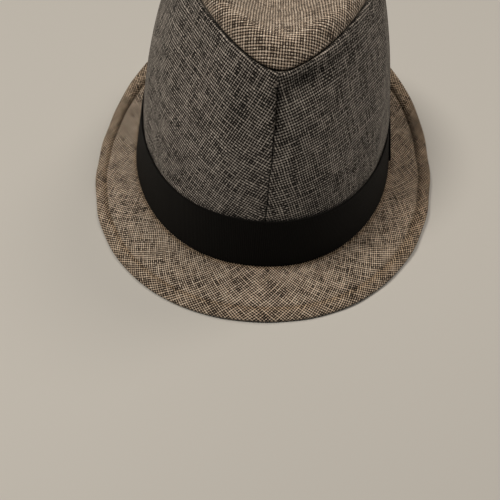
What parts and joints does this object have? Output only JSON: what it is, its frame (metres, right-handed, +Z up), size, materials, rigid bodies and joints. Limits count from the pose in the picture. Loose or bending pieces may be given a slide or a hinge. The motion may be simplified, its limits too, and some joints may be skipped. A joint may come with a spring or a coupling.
{
  "type": "trilby",
  "caption": "Short-brimmed cloth trilby with a sewn teardrop crown, a pinched front, a dark ribbon band with a flat fold, and a brim snapped down in front and curled up behind",
  "frame": {"origin": "bottom centre of the bounding box, on the surface the hat rests on", "axes": "+Z up through the crown, -Y to the front of the brim, +X to the wearer's left"},
  "size_m": [0.225, 0.2654, 0.1253],
  "materials": {
    "crown_cloth": "matt open weave of cream and dark brown threads",
    "brim_cloth": "matt open weave of cream and dark brown threads",
    "ribbon": "matt black grosgrain"
  },
  "bodies": {
    "root": {"crown_side_left": "crown_cloth", "crown_side_right": "crown_cloth", "crown_tip": "crown_cloth", "brim": "brim_cloth", "hat_band": "ribbon", "band_fold": "ribbon"}
  },
  "joints": []
}
